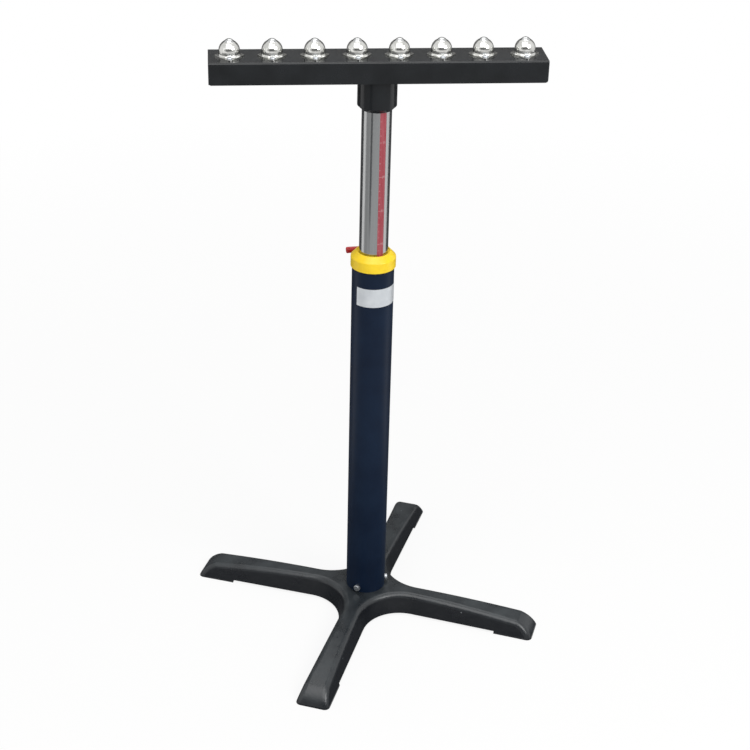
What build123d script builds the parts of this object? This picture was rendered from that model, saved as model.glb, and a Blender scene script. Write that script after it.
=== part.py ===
from build123d import *
import os
from math import cos, radians, sin, sqrt

# Ball roller stand: a four-legged cast base, a telescopic column with a clamp collar, and a folded channel
# that carries a row of ball transfer units. Millimetres, +Z up, origin on the column's axis at the floor.
# The head lies along X and the clamp is at the back of the collar, towards +Y.

# Base casting
leg_count = 4
base_turn = -21.5  # degrees from +X to the nearest leg
leg_tip_radius = 274.0
leg_half_width_toe = 25.8
leg_half_width_hub = 21.6
web_radius = 58.0  # plan radius between two legs, at the floor
side_draft = 17.0  # degrees
hub_top = 34.0
hub_flat_radius = 55.0
toe_top = 24.0
toe_run = 25.0  # how far the sloped toe face runs back from the tip
toe_bulge = 3.5  # how far the toe face bulges from a flat slope
edge_round = 9.0
casting_wall = 7.0
pad_lift = 4.0  # the rim stands this far off the floor between the toe pads
pad_length = 58.0
hub_core_radius = 33.0
hub_bore = 30.0
spigot_height = 30.0
spigot_chamfer = 2.0

# Outer tube and the screws at its foot
outer_tube_od = 60.3
outer_tube_wall = 2.5
outer_tube_length = 567.0
foot_screw_count = 3
foot_screw_azimuth = -120.0
foot_screw_rise = 8.0
foot_screw_diameter = 6.0
foot_screw_length = 12.0
foot_screw_head_diameter = 10.0
foot_screw_head_height = 4.0
foot_screw_slot_width = 1.6
foot_screw_slot_depth = 1.8
foot_screw_slot_turn = 35.0

# Label
label_drop = 67.2  # from the outer tube's top to the label's lower edge
label_height = 28.2
label_start = -142.5  # degrees, from +X
label_sweep = 135.5
label_thickness = 0.2

# Clamp collar and its boss
collar_od = 64.4
collar_skirt = 13.5  # how far the collar reaches down over the tube
collar_shoulder = 14.7  # height of its upright side
collar_height = 22.7
collar_crest_radius = 24.6
collar_crest_width = 1.2
collar_step = 1.4
collar_mouth_gap = 0.35
collar_round = 2.0
boss_radius = 7.0
boss_reach = 38.5  # from the column's axis to the boss's face
insert_od = 9.0
insert_flange_od = 12.0
insert_flange_thickness = 1.0

# Top bush
bush_flange = 2.0
top_bush_length = 30.0

# Inner tube, its scale and its foot
inner_tube_od = 41.3
inner_tube_wall = 2.0
inner_tube_foot = 275.0
inner_tube_head_gap = 2.0
scale_width = 9.5
scale_azimuth = -69.0
scale_length = 427.6
scale_thickness = 0.15
scale_recess = 0.25
plug_flange = 2.0
plug_depth = 12.0
plug_wall = 3.0
guide_bush_length = 25.0
guide_bush_rise = 7.0
ring_width = 2.2
ring_od = 47.0
ring_groove_depth = 0.5
ring_opening = 10.0

# Head
head_top = 894.0
head_length = 450.0
head_depth = 62.0
head_height = 30.0
head_sheet = 2.5
head_bend = 3.0
head_corner_round = 4.0
seam_gap = 0.4
sleeve_od = 54.0
sleeve_length = 71.5
sleeve_chamfer = 5.8
weld_length = 16.0
weld_height = 3.0

# Ball transfer units
unit_count = 8
unit_pitch = 56.2
ball_diameter = 15.875
ball_rise = 23.6  # top of a ball above the head's sheet
dome_od = 28.2
dome_wall = 1.2
dome_straight = 7.9
dome_top = 20.0
dome_lip_radius = 7.2
flange_sheet = 1.8
flange_half_width = 19.3
flange_corner_round = 3.0
flange_ear_round = 4.5
flange_hole_offset = 19.0
race_top = 12.5
load_ball_diameter = 3.175
load_ball_count = 6
load_ball_tilt = 50.0  # degrees below the large ball's middle
flange_screw_diameter = 4.0
flange_screw_length = 11.0
flange_screw_head_diameter = 8.0
flange_screw_head_height = 2.6
flange_screw_head_chamfer = 0.9
flange_nut_flats = 7.0
flange_nut_height = 3.2
spring_washer_od = 7.6
spring_washer_thickness = 1.0

# Clamp
clamp_drop = 10.0  # from the outer tube's top to the clamp's axis
clamp_thread = 6.0
pad_diameter = 9.5
pad_length_y = 4.5
pad_pin_diameter = 4.0
pad_pin_depth = 2.6
lever_start = 41.0  # from the column's axis to the handle's inner face
lever_hub_radius = 7.0
lever_hub_length = 21.0
lever_hub_taper = 0.6
drum_neck_length = 4.0
drum_tooth_length = 3.4
drum_radius = 5.0
tooth_count = 16
tooth_depth = 0.5
tooth_width = 0.8
hub_web = 2.0
arm_reach = 35.2
arm_root_radius = 3.7
arm_tip_radius = 4.6
arm_tip_round = 2.2
arm_start = 48.0  # from the column's axis to the arm's middle line, at the hub
arm_end = 46.5  # the same at the arm's tip
arm_droop = 3.0  # degrees
cap_screw_diameter = 4.0
cap_screw_head_diameter = 7.2
cap_screw_head_height = 2.5
cap_screw_socket = 2.5
spring_room = 6.8
spring_wire = 0.7
spring_diameter = 6.8
spring_turns = 3.5

# Clearances
running_gap = 0.08  # radial, between a tube and the bush that it runs in
seat_gap = 0.05  # radial, between pieces that are fitted and stay put
rest_gap = 0.3  # between pieces that move past each other and aren't a fit
bolt_gap = 0.25  # radial, between a screw and the hole that it passes through
spigot_gap = 0.15
load_ball_gap = 0.15
tooth_gap = 0.15
race_gap = 0.1

# Sizes that follow
outer_tube_radius = outer_tube_od / 2
outer_bore_radius = outer_tube_radius - outer_tube_wall
inner_tube_radius = inner_tube_od / 2
inner_bore_radius = inner_tube_radius - inner_tube_wall
column_top = hub_top + outer_tube_length
label_bottom = column_top - label_drop
clamp_height = column_top - clamp_drop
collar_bottom = column_top - collar_skirt
collar_top = collar_bottom + collar_height
collar_radius = collar_od / 2
collar_bore_radius = outer_tube_radius + seat_gap
bush_radius = outer_bore_radius - seat_gap
bush_bore_radius = inner_tube_radius + running_gap
head_underside = head_top - head_sheet
head_bottom = head_top - head_height
sleeve_foot = head_underside - sleeve_length
sleeve_radius = sleeve_od / 2
ball_radius = ball_diameter / 2
ball_height = ball_rise - ball_radius  # a ball's middle above the head's sheet
unit_places = [(i - (unit_count - 1) / 2) * unit_pitch for i in range(unit_count)]
unit_centres = [(x, 0, head_top) for x in unit_places]
flange_hole_places = [(x, side * flange_hole_offset) for x in unit_places for side in (-1, 1)]
foot_screw_height = hub_top + foot_screw_rise
foot_screw_azimuths = [foot_screw_azimuth + 360 / foot_screw_count * i for i in range(foot_screw_count)]
past_all = 3 * head_top  # length of a cutter that passes all pieces
clamp_axis = Axis((0, 0, clamp_height), (0, 1, 0))
clamp_side = Plane(origin=(0, 0, clamp_height), x_dir=(0, 1, 0), z_dir=(1, 0, 0))
clamp_end = Plane(origin=(0, 0, clamp_height), x_dir=(1, 0, 0), z_dir=(0, 1, 0))

os.makedirs("parts", exist_ok=True)


def save(piece, name):
    """Label a finished piece and write its STEP file."""
    piece.part.label = name
    export_step(piece.part, f"parts/{name}.step")


def leg_corners(margin, tip):
    """Corners of one leg's plan outline, its sides moved in by a margin and its end cut off at a radius."""
    hub = leg_half_width_hub - margin
    toe = hub + (leg_half_width_toe - leg_half_width_hub) * tip / leg_tip_radius
    return (0, -hub), (tip, -toe), (tip, toe), (0, hub)


def crown_point(radius, drop):
    """Point on the long arc of the legs' top, or as far below it as the drop says."""
    share = (radius - hub_flat_radius) / (toe_top_radius - hub_flat_radius)
    return (radius, hub_top - (hub_top - toe_top) * share**2 - drop)


def outward_plane(azimuth, height, distance):
    """Plane square to a radius of the column, at a distance from the column's axis."""
    outward = Vector(cos(radians(azimuth)), sin(radians(azimuth)), 0)
    return Plane(origin=outward * distance + Vector(0, 0, height), x_dir=(0, 0, 1), z_dir=outward)


toe_top_radius = leg_tip_radius - toe_run
crown_end = leg_tip_radius + toe_run
hollow_end = leg_tip_radius - pad_length - casting_wall
facing_up = 0.9  # least upward part of a top face's normal

# Circle that the toe face is part of, through the tip at the floor and the toe's top edge
toe_chord = sqrt(toe_run**2 + toe_top**2)
toe_face_radius = (toe_chord**2 / 4 + toe_bulge**2) / (2 * toe_bulge)
toe_inset = (toe_face_radius - toe_bulge) / toe_chord
toe_centre = (leg_tip_radius - toe_run / 2 - toe_inset * toe_top, toe_top / 2 - toe_inset * toe_run)

# Hollow under the legs, taken out of the casting below
with BuildPart() as leg_hollow:
    with BuildSketch() as hollow_plan:
        with PolarLocations(0, leg_count, start_angle=base_turn):
            Polygon(*leg_corners(casting_wall, hollow_end), align=None)
        inner_corners = hollow_plan.vertices().sort_by_distance((0, 0))[:leg_count]
        fillet(inner_corners, web_radius + casting_wall)
    extrude(amount=hub_top - casting_wall, taper=side_draft)
    with BuildSketch(Plane.XZ):
        with BuildLine():
            start = crown_point(hub_flat_radius, casting_wall)
            ceiling = TangentArc(start, crown_point(crown_end, casting_wall), tangent=(1, 0))
            Polyline(ceiling @ 1, (crown_end, 2 * hub_top), (hub_flat_radius, 2 * hub_top), start)
        make_face()
    revolve(axis=Axis.Z, mode=Mode.SUBTRACT)
    Cylinder(hub_core_radius, 2 * hub_top, mode=Mode.SUBTRACT)

with BuildPart() as base_casting:
    with BuildSketch() as base_plan:
        with PolarLocations(0, leg_count, start_angle=base_turn):
            Polygon(*leg_corners(0, leg_tip_radius), align=None)
        inner_corners = base_plan.vertices().sort_by_distance((0, 0))[:leg_count]
        fillet(inner_corners, web_radius)
    extrude(amount=hub_top, taper=side_draft)
    # The top droops in one long arc from the hub to the toes
    with BuildSketch(Plane.XZ):
        with BuildLine():
            start = crown_point(hub_flat_radius, 0)
            crown = TangentArc(start, crown_point(crown_end, 0), tangent=(1, 0))
            Polyline(crown @ 1, (crown_end, 2 * hub_top), (hub_flat_radius, 2 * hub_top), start)
        make_face()
    revolve(axis=Axis.Z, mode=Mode.SUBTRACT)
    # Sloped toe faces that bulge a little
    for leg in range(leg_count):
        with BuildSketch(Plane.XZ.rotated((0, 0, base_turn + 360 / leg_count * leg))):
            with Locations((toe_top_radius - toe_run / 2, 0)):
                Rectangle(2 * toe_run, 2 * toe_top, align=Align.MIN)
            with Locations(toe_centre):
                Circle(toe_face_radius, mode=Mode.SUBTRACT)
        extrude(amount=2 * leg_half_width_toe, both=True, mode=Mode.SUBTRACT)
    upper_faces = base_casting.faces().filter_by(lambda face: face.normal_at().Z > facing_up)
    upper_edges = ShapeList([edge for face in upper_faces for edge in face.edges()])
    rim = [edge for edge in upper_edges if sum(edge.is_same(other) for other in upper_edges) == 1]
    toe_faces = base_casting.faces().filter_by(GeomType.CYLINDER)
    toe_edges = ShapeList([edge for face in toe_faces for edge in face.edges()])
    toe_sides = toe_edges.filter_by(lambda edge: 0 < edge.center().Z < 0.9 * toe_top)
    fillet(rim + toe_sides, edge_round)
    add(leg_hollow.part, mode=Mode.SUBTRACT)
    Cylinder(leg_tip_radius - pad_length, 2 * pad_lift, mode=Mode.SUBTRACT)
    # Spigot that the outer tube stands on
    spigot_radius = outer_bore_radius - spigot_gap
    with BuildSketch(Plane.XY.offset(hub_top)):
        Circle(spigot_radius)
    extrude(amount=spigot_height)
    spigot_rim = base_casting.edges().filter_by(GeomType.CIRCLE).group_by(Axis.Z)[-1]
    chamfer(spigot_rim, spigot_chamfer)
    with BuildSketch():
        Circle(hub_bore / 2)
    extrude(amount=hub_top + spigot_height, mode=Mode.SUBTRACT)
    # Tapped holes for the foot screws
    foot_hole_start = outer_tube_radius - foot_screw_length - seat_gap
    for azimuth in foot_screw_azimuths:
        with BuildSketch(outward_plane(azimuth, foot_screw_height, foot_hole_start)):
            Circle(foot_screw_diameter / 2 + seat_gap)
        extrude(amount=outer_tube_radius - foot_hole_start, mode=Mode.SUBTRACT)
save(base_casting, "base_casting")

with BuildPart() as foot_screw:
    with BuildSketch():
        Circle(foot_screw_head_diameter / 2)
    extrude(amount=foot_screw_head_height)
    chamfer(foot_screw.edges().group_by(Axis.Z)[-1], foot_screw_slot_depth / 3)
    with BuildSketch(Plane.XY.offset(foot_screw_head_height)):
        Rectangle(foot_screw_slot_width, 2 * foot_screw_head_diameter, rotation=foot_screw_slot_turn)
    extrude(amount=-foot_screw_slot_depth, mode=Mode.SUBTRACT)
    with BuildSketch():
        Circle(foot_screw_diameter / 2)
    extrude(amount=-foot_screw_length)

with BuildPart() as base_screws:
    for azimuth in foot_screw_azimuths:
        with Locations(outward_plane(azimuth, foot_screw_height, outer_tube_radius)):
            add(foot_screw.part)
save(base_screws, "base_screws")

with BuildPart() as outer_tube:
    with BuildSketch(Plane.XY.offset(hub_top)):
        Circle(outer_tube_radius)
        Circle(outer_bore_radius, mode=Mode.SUBTRACT)
    extrude(amount=outer_tube_length)
    for azimuth in foot_screw_azimuths:
        with BuildSketch(outward_plane(azimuth, foot_screw_height, 0)):
            Circle(foot_screw_diameter / 2 + bolt_gap)
        extrude(amount=outer_tube_od, mode=Mode.SUBTRACT)
    with BuildSketch(clamp_end):
        Circle(insert_od / 2 + bolt_gap)
    extrude(amount=outer_tube_od, mode=Mode.SUBTRACT)
save(outer_tube, "outer_tube")

label_radius = outer_tube_radius + seat_gap
with BuildPart() as column_label:
    with BuildSketch(Plane.XY.offset(label_bottom)):
        with BuildLine():
            inner_arc = CenterArc((0, 0), label_radius, label_start, label_sweep)
            outer_arc = CenterArc((0, 0), label_radius + label_thickness, label_start, label_sweep)
            Line(inner_arc @ 0, outer_arc @ 0)
            Line(inner_arc @ 1, outer_arc @ 1)
        make_face()
    extrude(amount=label_height)
save(column_label, "column_label")

with BuildPart() as lock_collar:
    mouth_radius = inner_tube_radius + collar_mouth_gap
    crest_inner = collar_crest_radius - collar_crest_width
    side_top = collar_bottom + collar_shoulder
    bush_seat = column_top + bush_flange
    with BuildSketch(Plane.XZ):
        with BuildLine():
            Polyline(
                (0, collar_bottom),
                (collar_radius, collar_bottom),
                (collar_radius, side_top),
                (collar_crest_radius, collar_top),
                (crest_inner, collar_top),
                (crest_inner - collar_step / 2, collar_top - collar_step),
                (0, collar_top - collar_step),
                close=True,
            )
        make_face()
    revolve(axis=Axis.Z)
    side_edges = lock_collar.edges().filter_by(GeomType.CIRCLE).sort_by(SortBy.RADIUS)[-2:]
    fillet(side_edges.sort_by(Axis.Z)[-1], collar_round)
    with BuildSketch(clamp_end):
        Circle(boss_radius)
    extrude(amount=boss_reach)
    with BuildSketch(Plane.XY.offset(collar_bottom - boss_radius)):
        Circle(collar_bore_radius)
    extrude(amount=bush_seat - collar_bottom + boss_radius, mode=Mode.SUBTRACT)
    with BuildSketch(Plane.XY.offset(collar_bottom)):
        Circle(mouth_radius)
    extrude(amount=collar_height, mode=Mode.SUBTRACT)
    with BuildSketch(clamp_end):
        Circle(insert_od / 2 + seat_gap)
    extrude(amount=boss_reach, mode=Mode.SUBTRACT)
save(lock_collar, "lock_collar")

with BuildPart() as top_bush:
    with BuildSketch(Plane.XY.offset(column_top)):
        Circle(outer_tube_radius)
    extrude(amount=bush_flange)
    with BuildSketch(Plane.XY.offset(column_top)):
        Circle(bush_radius)
    extrude(amount=-top_bush_length)
    with BuildSketch(Plane.XY.offset(column_top - top_bush_length)):
        Circle(bush_bore_radius)
    extrude(amount=top_bush_length + bush_flange, mode=Mode.SUBTRACT)
    with BuildSketch(clamp_end):
        Circle(pad_diameter / 2 + running_gap)
    extrude(amount=outer_tube_od, mode=Mode.SUBTRACT)
save(top_bush, "top_bush")

with BuildPart() as thread_insert:
    insert_start = bush_radius + rest_gap
    with BuildSketch(clamp_end.offset(insert_start)):
        Circle(insert_od / 2)
    extrude(amount=boss_reach - insert_start)
    with BuildSketch(clamp_end.offset(boss_reach)):
        Circle(insert_flange_od / 2)
    extrude(amount=insert_flange_thickness)
    with BuildSketch(clamp_end):
        Circle(clamp_thread / 2 + seat_gap)
    extrude(amount=2 * boss_reach, mode=Mode.SUBTRACT)
save(thread_insert, "thread_insert")

# Guide bush and what holds it on the inner tube
guide_bottom = inner_tube_foot + guide_bush_rise
guide_top = guide_bottom + guide_bush_length
ring_bottoms = (guide_bottom - rest_gap - ring_width, guide_top + rest_gap)
groove_radius = inner_tube_radius - ring_groove_depth

with BuildPart() as guide_bush:
    with BuildSketch(Plane.XY.offset(guide_bottom)):
        Circle(outer_bore_radius - running_gap)
        Circle(bush_bore_radius, mode=Mode.SUBTRACT)
    extrude(amount=guide_bush_length)
save(guide_bush, "guide_bush")

with BuildPart() as bush_rings:
    for bottom in ring_bottoms:
        with BuildSketch(Plane.XY.offset(bottom)):
            Circle(ring_od / 2)
            Circle(groove_radius, mode=Mode.SUBTRACT)
            with Locations((ring_od / 2, 0)):
                Rectangle(ring_od - inner_tube_od, ring_opening, mode=Mode.SUBTRACT)
        extrude(amount=ring_width)
save(bush_rings, "bush_rings")

# The scale lies in a shallow recess down the front of the inner tube
scale_place = Location((0, 0, sleeve_foot - rest_gap - scale_length / 2), (0, 0, scale_azimuth))
scale_floor = inner_tube_radius - scale_recess

with BuildPart() as scale_pocket:
    with Locations(scale_place):
        Box(outer_tube_od, scale_width, scale_length, align=(Align.MIN, Align.CENTER, Align.CENTER))
    Cylinder(scale_floor, past_all, mode=Mode.SUBTRACT)

with BuildPart() as inner_tube:
    tube_top = head_underside - inner_tube_head_gap
    with BuildSketch(Plane.XY.offset(inner_tube_foot)):
        Circle(inner_tube_radius)
        Circle(inner_bore_radius, mode=Mode.SUBTRACT)
    extrude(amount=tube_top - inner_tube_foot)
    for bottom in ring_bottoms:
        with BuildSketch(Plane.XY.offset(bottom)):
            Circle(inner_tube_radius)
            Circle(groove_radius, mode=Mode.SUBTRACT)
        extrude(amount=ring_width, mode=Mode.SUBTRACT)
    add(scale_pocket.part, mode=Mode.SUBTRACT)
save(inner_tube, "inner_tube")

scale_back = scale_floor + seat_gap
with BuildPart() as height_scale:
    with Locations(scale_place):
        Box(
            outer_tube_od,
            scale_width - 2 * seat_gap,
            scale_length - 2 * seat_gap,
            align=(Align.MIN, Align.CENTER, Align.CENTER),
        )
    Cylinder(scale_back + scale_thickness, past_all, mode=Mode.INTERSECT)
    Cylinder(scale_back, past_all, mode=Mode.SUBTRACT)
save(height_scale, "height_scale")

with BuildPart() as tube_plug:
    with BuildSketch(Plane.XY.offset(inner_tube_foot)):
        Circle(inner_tube_radius)
    extrude(amount=-plug_flange)
    with BuildSketch(Plane.XY.offset(inner_tube_foot)):
        Circle(inner_bore_radius - seat_gap)
        Circle(inner_bore_radius - plug_wall, mode=Mode.SUBTRACT)
    extrude(amount=plug_depth)
save(tube_plug, "tube_plug")

with BuildPart() as head_sleeve:
    with BuildSketch(Plane.XY.offset(sleeve_foot)):
        Circle(sleeve_radius)
    extrude(amount=head_underside - sleeve_foot)
    chamfer(head_sleeve.edges().group_by(Axis.Z)[0], sleeve_chamfer)
    with BuildSketch(Plane.XY.offset(sleeve_foot)):
        Circle(inner_tube_radius + seat_gap)
    extrude(amount=head_underside - sleeve_foot, mode=Mode.SUBTRACT)
save(head_sleeve, "head_sleeve")

with BuildPart() as head_channel:
    # Top and long walls, folded from one sheet
    with BuildSketch(Plane.YZ):
        with Locations((0, head_top)):
            outline = Rectangle(head_depth, head_height, align=(Align.CENTER, Align.MAX))
        fillet(outline.vertices().group_by(Axis.Y)[-1], head_bend)
        with Locations((0, head_underside)):
            Rectangle(
                head_depth - 2 * head_sheet,
                head_height,
                align=(Align.CENTER, Align.MAX),
                mode=Mode.SUBTRACT,
            )
    extrude(amount=head_length / 2, both=True)
    wall_ends = head_channel.edges().filter_by(Axis.Y).group_by(Axis.Z)[0]
    fillet(wall_ends, head_corner_round)
    # End flaps, folded down between the long walls with an open seam at each corner
    flap_width = head_depth - 2 * (head_sheet + seam_gap)
    with GridLocations(head_length - head_sheet, 0, 2, 1):
        with Locations((0, 0, head_underside)):
            Box(
                head_sheet,
                flap_width,
                head_height - head_sheet,
                align=(Align.CENTER, Align.CENTER, Align.MAX),
            )
    for end in (-1, 1):
        with BuildSketch(Plane.XZ):
            with Locations((end * (head_length / 2 - head_bend / 2), head_top - head_bend / 2)):
                Rectangle(head_bend, head_bend)
            with Locations((end * (head_length / 2 - head_bend), head_top - head_bend)):
                Circle(head_bend, mode=Mode.SUBTRACT)
        extrude(amount=head_depth, both=True, mode=Mode.SUBTRACT)
    with BuildSketch(Plane.XY.offset(head_bottom)):
        with Locations(*flange_hole_places):
            Circle(flange_screw_diameter / 2 + bolt_gap)
    extrude(amount=head_height, mode=Mode.SUBTRACT)
save(head_channel, "head_channel")

with BuildPart() as head_welds:
    inner_half = head_depth / 2 - head_sheet
    for side in (-1, 1):
        with Locations((0, side * inner_half, head_bottom + weld_height)):
            Box(
                weld_length,
                inner_half - sleeve_radius + weld_height,
                weld_height,
                align=(Align.CENTER, Align.MAX if side > 0 else Align.MIN, Align.CENTER),
            )
    Cylinder(sleeve_radius + seat_gap, past_all, mode=Mode.SUBTRACT)
save(head_welds, "head_welds")

# Ball transfer units: one housing is a dome and its diamond flange, pressed from one sheet
with BuildPart() as housing:
    dome_radius = dome_od / 2
    bore_radius = dome_radius - dome_wall
    lip_inner = dome_lip_radius + dome_wall / 2
    lip_under = dome_top - dome_wall
    with BuildSketch():
        with Locations(*[(side * (flange_half_width - flange_corner_round), 0) for side in (-1, 1)]):
            Circle(flange_corner_round)
        with Locations(*[(0, side * flange_hole_offset) for side in (-1, 1)]):
            Circle(flange_ear_round)
        make_hull()
        with Locations(*[(0, side * flange_hole_offset) for side in (-1, 1)]):
            Circle(flange_screw_diameter / 2 + bolt_gap, mode=Mode.SUBTRACT)
    extrude(amount=flange_sheet)
    with BuildSketch(Plane.XZ):
        with BuildLine():
            outer_side = Line((dome_radius, 0), (dome_radius, dome_straight))
            outer_shoulder = TangentArc(outer_side @ 1, (dome_lip_radius, dome_top), tangent=(0, 1))
            inner_side = Line((bore_radius, 0), (bore_radius, dome_straight))
            inner_shoulder = TangentArc(inner_side @ 1, (lip_inner, lip_under), tangent=(0, 1))
            Line(outer_shoulder @ 1, inner_shoulder @ 1)
            Line(inner_side @ 0, outer_side @ 0)
        make_face()
    revolve(axis=Axis.Z)
    with BuildSketch():
        Circle(bore_radius)
    extrude(amount=dome_straight, mode=Mode.SUBTRACT)

with BuildPart() as ball_housings:
    with Locations(*unit_centres):
        add(housing.part)
save(ball_housings, "ball_housings")

# A race cup fills the dome's bore and holds the small balls that carry the large one
race_radius = ball_radius + load_ball_gap + load_ball_diameter + race_gap
race_side = bore_radius - seat_gap
race_rim = sqrt(race_side**2 - (race_top - dome_straight) ** 2)
with BuildPart() as race_cup:
    with BuildSketch(Plane.XZ):
        Polygon(
            (0, 0),
            (race_side, 0),
            (race_side, dome_straight),
            (race_rim, race_top),
            (0, race_top),
            align=None,
        )
    revolve(axis=Axis.Z)
    with Locations((0, 0, ball_height)):
        Sphere(race_radius, mode=Mode.SUBTRACT)

with BuildPart() as race_cups:
    with Locations(*unit_centres):
        add(race_cup.part)
save(race_cups, "race_cups")

load_ring = ball_radius + load_ball_gap + load_ball_diameter / 2
with BuildPart() as load_balls:
    ring_height = head_top + ball_height - load_ring * sin(radians(load_ball_tilt))
    for x in unit_places:
        with Locations((x, 0, ring_height)):
            with PolarLocations(load_ring * cos(radians(load_ball_tilt)), load_ball_count):
                Sphere(load_ball_diameter / 2)
save(load_balls, "load_balls")

for number, x in enumerate(unit_places, start=1):
    with BuildPart() as ball:
        with Locations((x, 0, head_top + ball_height)):
            Sphere(ball_radius)
    save(ball, f"ball_{number}")

with BuildPart() as flange_screw:
    with BuildSketch():
        Circle(flange_screw_head_diameter / 2)
    extrude(amount=flange_screw_head_height)
    chamfer(flange_screw.edges().group_by(Axis.Z)[-1], flange_screw_head_chamfer)
    with BuildSketch():
        Circle(flange_screw_diameter / 2)
    extrude(amount=-flange_screw_length)

with BuildPart() as flange_screws:
    with Locations(*[(x, y, head_top + flange_sheet) for x, y in flange_hole_places]):
        add(flange_screw.part)
save(flange_screws, "flange_screws")

with BuildPart() as spring_washers:
    with BuildSketch(Plane.XY.offset(head_underside)):
        with Locations(*flange_hole_places):
            Circle(spring_washer_od / 2)
            Circle(flange_screw_diameter / 2 + seat_gap, mode=Mode.SUBTRACT)
    extrude(amount=-spring_washer_thickness)
save(spring_washers, "spring_washers")

with BuildPart() as flange_nuts:
    with BuildSketch(Plane.XY.offset(head_underside - spring_washer_thickness)):
        with Locations(*flange_hole_places):
            RegularPolygon(flange_nut_flats / 2, 6, major_radius=False)
            Circle(flange_screw_diameter / 2 + seat_gap, mode=Mode.SUBTRACT)
    extrude(amount=-flange_nut_height)
save(flange_nuts, "flange_nuts")

# Clamp: a pad that bears on the inner tube, the screw that pushes it, and a lever handle that lifts off the
# screw's teeth so that it can be set at another angle
pad_start = inner_tube_radius + rest_gap
pad_end = pad_start + pad_length_y
with BuildPart() as clamp_pad:
    with BuildSketch(clamp_end.offset(pad_start)):
        Circle(pad_diameter / 2)
    extrude(amount=pad_length_y)
    with BuildSketch(clamp_end.offset(pad_end)):
        Circle(pad_pin_diameter / 2 + seat_gap)
    extrude(amount=-pad_pin_depth, mode=Mode.SUBTRACT)
save(clamp_pad, "clamp_pad")

drum_end = lever_start + drum_neck_length + drum_tooth_length
tooth_root_radius = drum_radius - tooth_depth
with BuildPart() as clamp_screw:
    with BuildSketch(clamp_end.offset(pad_end - pad_pin_depth + seat_gap)):
        Circle(pad_pin_diameter / 2)
    extrude(amount=pad_pin_depth + rest_gap)
    with BuildSketch(clamp_end.offset(pad_end + rest_gap)):
        Circle(clamp_thread / 2)
    extrude(amount=lever_start - pad_end - rest_gap)
    with BuildSketch(clamp_end.offset(lever_start)):
        Circle(tooth_root_radius)
    extrude(amount=drum_neck_length)
    with BuildSketch(clamp_end.offset(lever_start + drum_neck_length)):
        Circle(drum_radius)
        with PolarLocations(drum_radius, tooth_count):
            Rectangle(2 * tooth_depth, tooth_width, mode=Mode.SUBTRACT)
    extrude(amount=drum_tooth_length)
    with BuildSketch(clamp_end.offset(drum_end)):
        Circle(cap_screw_diameter / 2 + seat_gap)
    extrude(amount=-(drum_tooth_length + drum_neck_length - seat_gap), mode=Mode.SUBTRACT)
save(clamp_screw, "clamp_screw")

web_start = drum_end + rest_gap
web_end = web_start + hub_web
hub_end = lever_start + lever_hub_length
arm_root = (0, arm_start, clamp_height)
arm_run = Vector(-cos(radians(arm_droop)), (arm_end - arm_start) / arm_reach, -sin(radians(arm_droop)))
arm_side = Plane(origin=arm_root, x_dir=arm_run, z_dir=arm_run.cross(Vector(0, 0, 1)))
tip_round_centre = (arm_reach - arm_tip_round, arm_tip_radius - arm_tip_round)
with BuildPart() as lever_handle:
    with BuildSketch(clamp_side):
        Polygon(
            (lever_start, 0),
            (lever_start, lever_hub_radius),
            (hub_end, lever_hub_radius - lever_hub_taper),
            (hub_end, 0),
            align=None,
        )
    revolve(axis=clamp_axis)
    fillet(lever_handle.edges().filter_by(GeomType.CIRCLE).group_by(Axis.Y)[-1], 2 * lever_hub_taper)
    with BuildSketch(arm_side):
        with BuildLine():
            tip = CenterArc(tip_round_centre, arm_tip_round, 0, 90)
            Polyline(tip @ 1, (0, arm_root_radius), (0, 0), (arm_reach, 0), tip @ 0)
        make_face()
    revolve(axis=Axis(arm_root, arm_run))
    # Toothed socket, web and spring room inside the hub
    socket_radius = drum_radius + tooth_gap
    with BuildSketch(clamp_end.offset(lever_start)):
        Circle(socket_radius)
    extrude(amount=web_start - lever_start, mode=Mode.SUBTRACT)
    with BuildSketch(clamp_end.offset(web_end)):
        Circle(cap_screw_head_diameter / 2 + rest_gap)
    extrude(amount=hub_end - web_end, mode=Mode.SUBTRACT)
    with BuildSketch(clamp_end.offset(web_start)):
        Circle(cap_screw_diameter / 2 + rest_gap)
    extrude(amount=hub_web, mode=Mode.SUBTRACT)
    with BuildSketch(clamp_end.offset(lever_start + drum_neck_length)):
        with PolarLocations(socket_radius, tooth_count):
            Rectangle(2 * tooth_depth, tooth_width - 2 * tooth_gap)
    extrude(amount=web_start - lever_start - drum_neck_length)
save(lever_handle, "lever_handle")

cap_head_start = web_end + spring_room
with BuildPart() as lever_cap_screw:
    with BuildSketch(clamp_end.offset(cap_head_start)):
        Circle(cap_screw_head_diameter / 2)
    extrude(amount=cap_screw_head_height)
    with BuildSketch(clamp_end.offset(cap_head_start + cap_screw_head_height)):
        RegularPolygon(cap_screw_socket / 2, 6, major_radius=False)
    extrude(amount=-cap_screw_head_height / 2, mode=Mode.SUBTRACT)
    with BuildSketch(clamp_end.offset(cap_head_start)):
        Circle(cap_screw_diameter / 2)
    extrude(amount=-(cap_head_start - lever_start - 2 * seat_gap))
save(lever_cap_screw, "lever_cap_screw")

with BuildPart() as lever_spring:
    spring_pitch = (spring_room - spring_wire - 2 * seat_gap) / spring_turns
    coil_radius = (spring_diameter - spring_wire) / 2
    coil_foot = Vector(0, web_end + seat_gap + spring_wire / 2, clamp_height)
    with BuildLine():
        coil = Helix(
            spring_pitch,
            spring_pitch * spring_turns,
            coil_radius,
            center=coil_foot,
            direction=(0, 1, 0),
        )
    with BuildSketch(Plane(origin=coil @ 0, x_dir=(coil @ 0) - coil_foot, z_dir=coil % 0)):
        Rectangle(spring_wire, spring_wire)
    sweep(is_frenet=True)
save(lever_spring, "lever_spring")
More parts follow.
